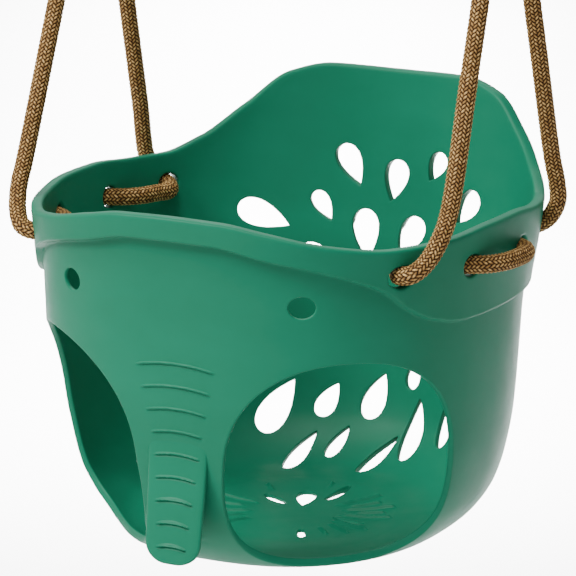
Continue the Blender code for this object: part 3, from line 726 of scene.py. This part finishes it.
def rope_route():
    """Points of the +X rope's centre line, as the CAD has them."""
    rear = FERRULE_PITCH
    low = FERRULE_TOP_Z - FERRULE_LENGTH
    starts = (FERRULE_TOP_Z - 0.016, low + 0.004, low - 0.003)
    points = [np.array((HANG_X, rear, z)) for z in starts]
    wall = []
    for degrees, out, height in WALL_ROUTE:
        middle, normal = wall_middle(degrees, height)
        wall.append(middle + normal * out)
    start = points[-1]
    points += [start + (wall[0] - start) * share for share in (0.08, 0.35, 0.65)]
    points += wall
    end = np.array((HANG_X, -rear, low - 0.003))
    points += [wall[-1] + (end - wall[-1]) * share for share in (0.35, 0.65, 0.92)]
    points.append(end)
    for z in (low + 0.004, FERRULE_TOP_Z - 0.004, FERRULE_TOP_Z + 0.002):
        points.append(np.array((HANG_X, -rear, z)))
    leave = 20.0  # degrees that the eye runs on past half a turn, on each side
    for step in range(11):
        turn = math.radians(-leave + (180.0 + 2 * leave) * step / 10)
        y = -THIMBLE_RADIUS * math.cos(turn)
        points.append(np.array((HANG_X, y, THIMBLE_Z + THIMBLE_RADIUS * math.sin(turn))))
    for z in (FERRULE_TOP_Z + 0.002, FERRULE_TOP_Z - 0.004, FERRULE_TOP_Z - 0.012):
        points.append(np.array((HANG_X, rear, z)))
    return points


def even_path(path, step):
    """Open path resampled at even steps."""
    run = run_along(path)
    at = np.linspace(0, run[-1], int(run[-1] / step) + 1)
    return np.stack([np.interp(at, run, column) for column in path.T], -1)


def smooth_path(points, step):
    """Centripetal spline through the points, resampled at even steps."""
    ends = [points[0] * 2 - points[1]] + points + [points[-1] * 2 - points[-2]]
    path = []
    for p0, p1, p2, p3 in zip(ends, ends[1:], ends[2:], ends[3:]):
        t1 = np.linalg.norm(p1 - p0) ** 0.5
        t2 = t1 + np.linalg.norm(p2 - p1) ** 0.5
        t3 = t2 + np.linalg.norm(p3 - p2) ** 0.5
        t = np.linspace(t1, t2, 24, endpoint=False)[:, None]
        a1 = p0 + (p1 - p0) * t / t1
        a2 = p1 + (p2 - p1) * (t - t1) / (t2 - t1)
        a3 = p2 + (p3 - p2) * (t - t2) / (t3 - t2)
        b1 = a1 + (a2 - a1) * t / t2
        b2 = a2 + (a3 - a2) * (t - t1) / (t3 - t1)
        path.append(b1 + (b2 - b1) * (t - t1) / (t2 - t1))
    return even_path(np.vstack(path + [points[-1]]), step)


def tube_rings(path, radius):
    """Rings square to a path that turn as little as they can; radius is (ring, side)."""
    tangent = np.gradient(path, axis=0)
    tangent /= np.linalg.norm(tangent, axis=1, keepdims=True)
    side = np.cross(tangent[0], [0.0, 1.0, 0.3])
    sides = []
    for direction in tangent:
        side = side - direction * (side @ direction)
        side /= np.linalg.norm(side)
        sides.append(side)
    first = np.array(sides)[:, None, :]
    second = np.cross(tangent, np.array(sides))[:, None, :]
    turn = full_turn(radius.shape[1])[None, :, None]
    return path[:, None, :] + radius[..., None] * (np.cos(turn) * first + np.sin(turn) * second)


def braid(turn, run):
    """Relief 0 to 1 and strand tone of a two-over-two braid, round and along the rope."""
    across = turn / (2 * math.pi) * BRAID_CARRIERS
    along = run / BRAID_PITCH * BRAID_CARRIERS
    right, left = across + along, across - along
    right_cell, left_cell = np.floor(right), np.floor(left)
    phase = np.mod(right_cell + left_cell, 4)
    right_over = phase < 2
    own = np.where(right_over, right - right_cell, left - left_cell)
    other = np.where(right_over, left, right)
    other_cell = np.where(right_over, left_cell, right_cell)
    second = np.mod(phase, 2) == 1
    float_share = (other - other_cell + second) / 2
    width = np.sin(math.pi * own) ** 0.55
    arch = np.sin(math.pi * np.clip(float_share, 0.0, 1.0)) ** 0.5
    relief = width * (0.35 + 0.65 * arch)
    strand = np.where(right_over, right_cell, left_cell + 100)
    tone = np.mod(np.sin(strand * 12.9898 + other_cell * 4.1) * 43758.5453, 1.0)
    return relief, tone


def add_attribute(mesh, name, values):
    layer = mesh.attributes.new(name, "FLOAT", "POINT")
    layer.data.foreach_set("value", np.ascontiguousarray(values, dtype=np.float32))


def rope_object(name, side, material):
    path = smooth_path(rope_route(), ROPE_RING_STEP) * np.array([side, 1, 1])
    run = np.arange(len(path)) * ROPE_RING_STEP
    turn = full_turn(ROPE_SIDES)
    relief, tone = braid(turn[None, :], run[:, None])
    ends = smooth_step(0.0, 0.002, np.minimum(run, run[-1] - run))
    radius = ROPE_DIAMETER / 2 - STRAND_RELIEF * (1 - relief)
    pressed = 1 - EYE_SQUEEZE * smooth_step(EYE_LOW_Z, EYE_HIGH_Z, path[:, 2])
    radius = radius * ((0.6 + 0.4 * ends) * pressed)[:, None]
    rope = skin(name, tube_rings(path, radius), material, caps=True)
    # the braid's relief also sets the painted shade in the gaps, in the rope material
    add_attribute(rope.data, "braid_relief", relief.ravel())
    add_attribute(rope.data, "strand_tone", np.broadcast_to(tone, relief.shape).ravel())
    return rope, path


# ---- links and fittings -----------------------------------------------------------
def link_path(step):
    """Round the link from above its gap to below it."""
    points = [(LINK_HALF_WIDTH, 0.0, LINK_GAP_TOP_Z)]
    for half, bend_z in enumerate((LINK_TOP_BEND_Z, LINK_LOW_BEND_Z)):
        for turn in math.pi * (half + np.arange(41) / 40):
            z = bend_z + LINK_HALF_WIDTH * math.sin(turn)
            points.append((LINK_HALF_WIDTH * math.cos(turn), 0.0, z))
    points.append((LINK_HALF_WIDTH, 0.0, LINK_GAP_LOW_Z))
    return even_path(np.array(points), step)


def link_object(name, hang, material):
    """Wire link with the thread that its sleeve nut runs on."""
    path = link_path(0.00016)
    step = np.linalg.norm(np.diff(path, axis=0), axis=1).mean()
    from_end = (len(path) - 1 - np.arange(len(path))) * step
    from_start = np.arange(len(path)) * step
    wave = np.abs(np.mod(from_end / THREAD_PITCH, 1.0) - 0.5) * 2
    threaded = smooth_step(-THREAD_LENGTH, -THREAD_LENGTH + 0.001, -from_end)
    radius = WIRE_RADIUS - THREAD_DEPTH * wave * threaded
    nose = np.minimum(from_end, from_start)
    radius = radius - END_CHAMFER * (1 - smooth_step(0.0, 1.2 * END_CHAMFER, nose))
    return skin(name, tube_rings(path + hang, np.tile(radius[:, None], 40)), material, caps=True)


def nut_object(name, hang, material):
    """Hexagonal sleeve with soft corners, turned chamfers and a bore."""
    sides = 120
    turn = full_turn(sides)
    flat = np.mod(turn + math.pi / 6, math.pi / 3) - math.pi / 6
    apothem = NUT_ACROSS_FLATS / 2
    hexagon = apothem / np.cos(math.pi / 6 - np.abs(flat))
    hexagon = np.minimum(hexagon, apothem * 1.135)
    low, high = NUT_TOP_Z - NUT_LENGTH, NUT_TOP_Z
    bore = WIRE_RADIUS + 0.0003
    rings = []
    # rise from each end, and the reach there as a share of the apothem
    chamfer = ((0.0, 0.90), (0.0005, 0.99), (0.0011, 1.08), (0.0016, 2.0))
    profile = [(low, bore)] + [(low + rise, apothem * limit) for rise, limit in chamfer]
    profile += [(high - rise, apothem * limit) for rise, limit in chamfer[::-1]] + [(high, bore)]
    for height, limit in profile:
        reach = np.minimum(hexagon, limit)
        rings.append(np.stack([reach * np.cos(turn), reach * np.sin(turn), np.full(sides, height)], -1))
    nut = skin(name, np.array(rings) + hang + np.array([LINK_HALF_WIDTH, 0, 0]), material, closed=True)
    nut.data.set_sharp_from_angle(angle=math.radians(28))
    return nut


def thimble_object(name, hang, material):
    """Round thimble: a grooved ring with rolled edges."""
    turn = full_turn(120)[:, None]
    sweep = np.linspace(0.02, math.pi - 0.02, 26)
    bend = np.linspace(0.3, math.pi - 0.3, 5)
    inside = THIMBLE_GROOVE - THIMBLE_SHEET
    edge = THIMBLE_GROOVE - THIMBLE_SHEET / 2
    roll = THIMBLE_SHEET / 2
    parts = (
        # the groove's back, one rolled edge, the groove's front and the other edge
        (0.0, THIMBLE_GROOVE, -THIMBLE_GROOVE, sweep), (-edge, -roll, roll * 0.6, bend),
        (0.0, inside, -inside, sweep[::-1]), (edge, -roll, roll * 0.6, bend),
    )
    x = np.concatenate([middle + across * np.cos(way) for middle, across, _, way in parts])
    reach = THIMBLE_RADIUS + np.concatenate([out * np.sin(way) for _, _, out, way in parts])
    rings = np.stack([np.tile(x, (len(turn), 1)), reach * np.cos(turn), reach * np.sin(turn)], -1)
    return skin(name, rings + hang + np.array([0, 0, THIMBLE_Z]), material, closed=True)


def ferrule_object(name, hang, material):
    """Pressed sleeve: a two-lobed oval with pinched bands and rolled mouths."""
    low = FERRULE_TOP_Z - FERRULE_LENGTH
    depth = ROPE_DIAMETER / 2 + FERRULE_WALL
    lobe = FERRULE_PITCH + depth
    turn = full_turn(96)
    power = 2.6
    rings = []
    heights = np.linspace(0, 1, 61)
    for share in heights:
        pinch = PINCH_DEPTH * sum(math.exp(-((share - band) / 0.055) ** 2) for band in (0.25, 0.5, 0.75))
        mouth = MOUTH_ROLL * sum(math.exp(-((share - end) / 0.04) ** 2) for end in (0, 1))
        x, y = superellipse(turn, depth - pinch - mouth * 0.4, lobe - pinch * 0.5 - mouth * 0.4, power)
        waist = 1 - 0.10 * np.exp(-(y / 0.0028) ** 2)
        rings.append(np.stack([x * waist, y, np.full_like(x, low + FERRULE_LENGTH * share)], -1))
    for share in heights[::-1][::12]:
        x, y = superellipse(turn, depth * 0.80, lobe * 0.87, power)
        rings.append(np.stack([x, y, np.full_like(x, low + FERRULE_LENGTH * share)], -1))
    return skin(name, np.array(rings) + hang, material, closed=True)


# ---- materials --------------------------------------------------------------------
class Nodes:
    """Short helper for building the node tree of a material or world."""

    def __init__(self, owner):
        owner.use_nodes = True
        self.owner = owner
        self.tree = owner.node_tree
        self.place = self.add("ShaderNodeTexCoord", {}).outputs

    def feed(self, socket, value):
        """Gives an input a number, a colour or vector, or another node's output."""
        if isinstance(value, (int, float)):
            socket.default_value = value
        elif isinstance(value, tuple):
            socket.default_value = (*value, 1.0)[:len(socket.default_value)]
        else:
            self.tree.links.new(value, socket)

    def add(self, kind, inputs, **settings):
        node = self.tree.nodes.new(kind)
        for key, value in settings.items():
            setattr(node, key, value)
        for key, value in inputs.items():
            self.feed(node.inputs[key], value)
        return node

    def noise(self, scale, detail=3.0, roughness=0.5, stretch=None):
        inputs = {"Scale": scale, "Detail": detail, "Roughness": roughness, "Vector": self.place["Object"]}
        if stretch:
            mapping = self.add("ShaderNodeMapping", {"Vector": inputs["Vector"], "Scale": stretch})
            inputs["Vector"] = mapping.outputs["Vector"]
        return self.add("ShaderNodeTexNoise", inputs).outputs["Fac"]

    def ramp(self, source, stops):
        node = self.add("ShaderNodeValToRGB", {"Fac": source})
        elements = node.color_ramp.elements
        while len(elements) < len(stops):
            elements.new(0.5)
        for element, (place, colour) in zip(elements, stops):
            element.position = place
            element.color = (*colour, 1.0)
        return node.outputs["Color"]

    def spread(self, source, low, high):
        inputs = {"Value": source, "To Min": low, "To Max": high}
        return self.add("ShaderNodeMapRange", inputs).outputs["Result"]

    def blend(self, factor, first, second, mode="MIX"):
        inputs = {0: factor, 6: first, 7: second}
        return self.add("ShaderNodeMix", inputs, data_type="RGBA", blend_type=mode).outputs[2]

    def bump(self, height, strength, distance, after=None):
        inputs = {"Height": height, "Strength": strength, "Distance": distance}
        if after is not None:
            inputs["Normal"] = after
        return self.add("ShaderNodeBump", inputs).outputs["Normal"]

    def finish(self, inputs):
        """Feeds the material's shader, and gives the material back."""
        for key, value in inputs.items():
            self.feed(self.tree.nodes["Principled BSDF"].inputs[key], value)
        return self.owner


def plastic_material():
    """Satin moulded polyethylene: faint flow marks, fine mould grain, soft sheen."""
    nodes = Nodes(bpy.data.materials.new("moulded_green"))
    flow = nodes.noise(9.0, 4.0, 0.55, (1.0, 1.0, 2.2))
    mottle = nodes.noise(140.0, 3.0, 0.6)
    base = nodes.ramp(flow, ((0.30, (0.0065, 0.152, 0.080)), (0.70, (0.0080, 0.178, 0.096))))
    grain = nodes.bump(nodes.noise(2600.0, 2.0, 0.6), 0.18, 0.00006)
    return nodes.finish({
        "Base Color": nodes.blend(nodes.spread(mottle, 0.0, 0.20), base, (0.0100, 0.194, 0.106)),
        "Roughness": nodes.spread(nodes.noise(60.0, 4.0), 0.40, 0.52),
        "Normal": nodes.bump(nodes.noise(38.0, 2.0, 0.4), 0.10, 0.0006, grain),
        "IOR": 1.50,
        "Specular IOR Level": 0.14,
    })


def rope_material():
    """Braided yarn: tan and gold strands with fine fibres, and painted shade that darkens each strand
    towards its edges and where it dips under, to near black in the gaps.
    """
    nodes = Nodes(bpy.data.materials.new("braided_tan"))
    relief = nodes.add("ShaderNodeAttribute", {}, attribute_name="braid_relief").outputs["Fac"]
    tone = nodes.add("ShaderNodeAttribute", {}, attribute_name="strand_tone").outputs["Fac"]
    yarn = nodes.ramp(tone, (
        (0.0, (0.260, 0.128, 0.030)), (0.45, (0.430, 0.240, 0.068)), (1.0, (0.760, 0.490, 0.190)),
    ))
    fibre = nodes.noise(1900.0, 2.0, 0.7)
    yarn = nodes.blend(nodes.spread(fibre, 0.0, 0.25), yarn, (0.56, 0.37, 0.17))
    # painted shade: the braid's relief darkens the yarn down each strand's sides and to near black in the
    # gaps between strands
    shade = nodes.ramp(relief, (
        (0.38, (0.012, 0.005, 0.002)), (0.66, (0.34, 0.28, 0.22)), (0.92, (1.0, 1.0, 1.0)),
    ))
    return nodes.finish({
        "Base Color": nodes.blend(1.0, yarn, shade, "MULTIPLY"),
        "Roughness": 0.78,
        "Specular IOR Level": 0.18,
        "Normal": nodes.bump(fibre, 0.35, 0.00022),
    })


def black_material():
    """Glossy black coated steel with faint orange peel and rubbed spots."""
    nodes = Nodes(bpy.data.materials.new("black_coating"))
    wear = nodes.noise(420.0, 5.0, 0.7)
    return nodes.finish({
        "Base Color": nodes.ramp(wear, ((0.62, (0.0060, 0.0060, 0.0065)), (0.80, (0.030, 0.030, 0.032)))),
        "Roughness": nodes.spread(wear, 0.10, 0.24),
        "Normal": nodes.bump(nodes.noise(700.0, 1.0), 0.12, 0.00008),
        "Coat Weight": 0.5,
        "Coat Roughness": 0.08,
    })


def zinc_material():
    """Bright zinc plating with a light spangle and draw marks."""
    nodes = Nodes(bpy.data.materials.new("zinc_plating"))
    spangle = nodes.noise(520.0, 3.0, 0.6)
    marks = nodes.noise(900.0, 2.0, 0.5, (1.0, 1.0, 0.12))
    return nodes.finish({
        "Base Color": nodes.ramp(spangle, ((0.35, (0.50, 0.51, 0.52)), (0.65, (0.68, 0.68, 0.66)))),
        "Metallic": 1.0,
        "Roughness": nodes.spread(spangle, 0.22, 0.42),
        "Normal": nodes.bump(marks, 0.15, 0.00008),
    })


def stage_material():
    nodes = Nodes(bpy.data.materials.new("studio_white"))
    tint = nodes.ramp(nodes.noise(1.5, 2.0), ((0.0, (0.86, 0.86, 0.86)), (1.0, (0.90, 0.90, 0.90))))
    return nodes.finish({"Base Color": tint, "Roughness": 0.9})


# ---- studio -----------------------------------------------------------------------
CAMERA_TURN = 27.43
CAMERA_RISE = 14.14
CAMERA_DISTANCE = 2.9
CAMERA_LENS = 271.9
TARGET = Vector((-0.0011, SEAT_Y, RIM_Z - 0.0836))


def add_camera():
    data = bpy.data.cameras.new("camera")
    data.lens = CAMERA_LENS
    data.sensor_width = 36.0
    data.clip_end = 50.0
    item = add_object("camera", data)
    turn, rise = math.radians(CAMERA_TURN), math.radians(CAMERA_RISE)
    away = Vector((math.sin(turn) * math.cos(rise), -math.cos(turn) * math.cos(rise), math.sin(rise)))
    item.location = TARGET + away * CAMERA_DISTANCE
    item.rotation_euler = (-away).to_track_quat("-Z", "Y").to_euler()
    bpy.context.scene.camera = item


def add_light(name, place, size, power):
    """Round soft light that faces the seat."""
    data = bpy.data.lights.new(name, "AREA")
    data.shape = "DISK"
    data.size = size
    data.energy = power
    item = add_object(name, data)
    item.location = place
    item.rotation_euler = (Vector(place) - TARGET).to_track_quat("Z", "Y").to_euler()
    return item


SOFT_SIDE = (-0.72, -0.48, 0.50)
BACKDROP_SIDE = (-0.46, 0.89, 0.0)


def add_world():
    """Even surround, brighter from the front left and towards the backdrop."""
    world = bpy.data.worlds.new("studio")
    bpy.context.scene.world = world
    nodes = Nodes(world)
    glows = []
    for side, low, high, least, most in (
        (SOFT_SIDE, -0.3, 1.0, 0.26, 0.80), (BACKDROP_SIDE, 0.5, 1.0, 0.0, 0.80),
    ):
        pair = {0: nodes.place["Generated"], 1: tuple(Vector(side).normalized())}
        facing = nodes.add("ShaderNodeVectorMath", pair, operation="DOT_PRODUCT").outputs["Value"]
        reach = {"Value": facing, "From Min": low, "From Max": high, "To Min": least, "To Max": most}
        glows.append(nodes.add("ShaderNodeMapRange", reach, interpolation_type="SMOOTHSTEP"))
    both = nodes.add("ShaderNodeMath", {number: glow.outputs["Result"] for number, glow in enumerate(glows)})
    background = world.node_tree.nodes["Background"]
    nodes.feed(background.inputs["Strength"], both.outputs["Value"])
    nodes.feed(background.inputs["Color"], (1.0, 1.0, 1.0))


def add_studio():
    add_world()
    add_light("key", (-1.45, -1.9, 1.7), 1.1, 96.0)
    add_light("overhead", (0.2, -1.1, 2.2), 1.0, 46.0)
    add_light("top_back", (-0.9, 1.5, 1.3), 1.2, 12.0)
    add_light("rim_right", (2.0, 0.9, 0.0), 0.8, 2.5)
    strip = add_light("backdrop_strip", (-1.15, 2.22, 0.80), 1.2, 215.0)
    strip.data.shape = "RECTANGLE"
    strip.data.size_y = 3.4
    strip.data.spread = math.radians(55)
    strip.rotation_euler = (0.0, 0.0, math.radians(27.4))
    bpy.ops.mesh.primitive_circle_add(vertices=96, radius=14.0, fill_type="NGON", location=(0, 0, FLOOR_Z))
    floor = bpy.context.object
    floor.name = "studio_floor"
    floor.data.materials.append(stage_material())


# ---- assembly ---------------------------------------------------------------------
def main():
    green = plastic_material()
    tan = rope_material()
    black = black_material()
    zinc = zinc_material()
    seat = seat_object(green)
    trunk = trunk_object(green)
    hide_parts("bucket_seat")
    for piece in (seat, trunk):
        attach(piece, "swing")
    for label, side in (("left", -1), ("right", 1)):
        hang = np.array([side * HANG_X, 0.0, 0.0])
        link = link_object("link_wire_" + label, hang, black)
        nut = nut_object("link_nut_" + label, hang, black)
        thimble = thimble_object("rope_thimble_" + label, hang, zinc)
        ferrule = ferrule_object("rope_ferrule_" + label, hang, zinc)
        rope, path = rope_object("braided_rope_" + label, side, tan)
        for piece, node, body, slot in (
            (link, "quick_link_", "hanger_links", "black_steel"),
            (nut, "sleeve_nut_", "sleeve_" + label, "black_steel"),
            (thimble, "thimble_", "swing", "zinc_steel"),
            (ferrule, "ferrule_", "swing", "zinc_steel"),
            (rope, "rope_", "swing", "tan_rope"),
        ):
            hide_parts(node + label)
            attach(piece, body)
    add_studio()
    add_camera()


main()
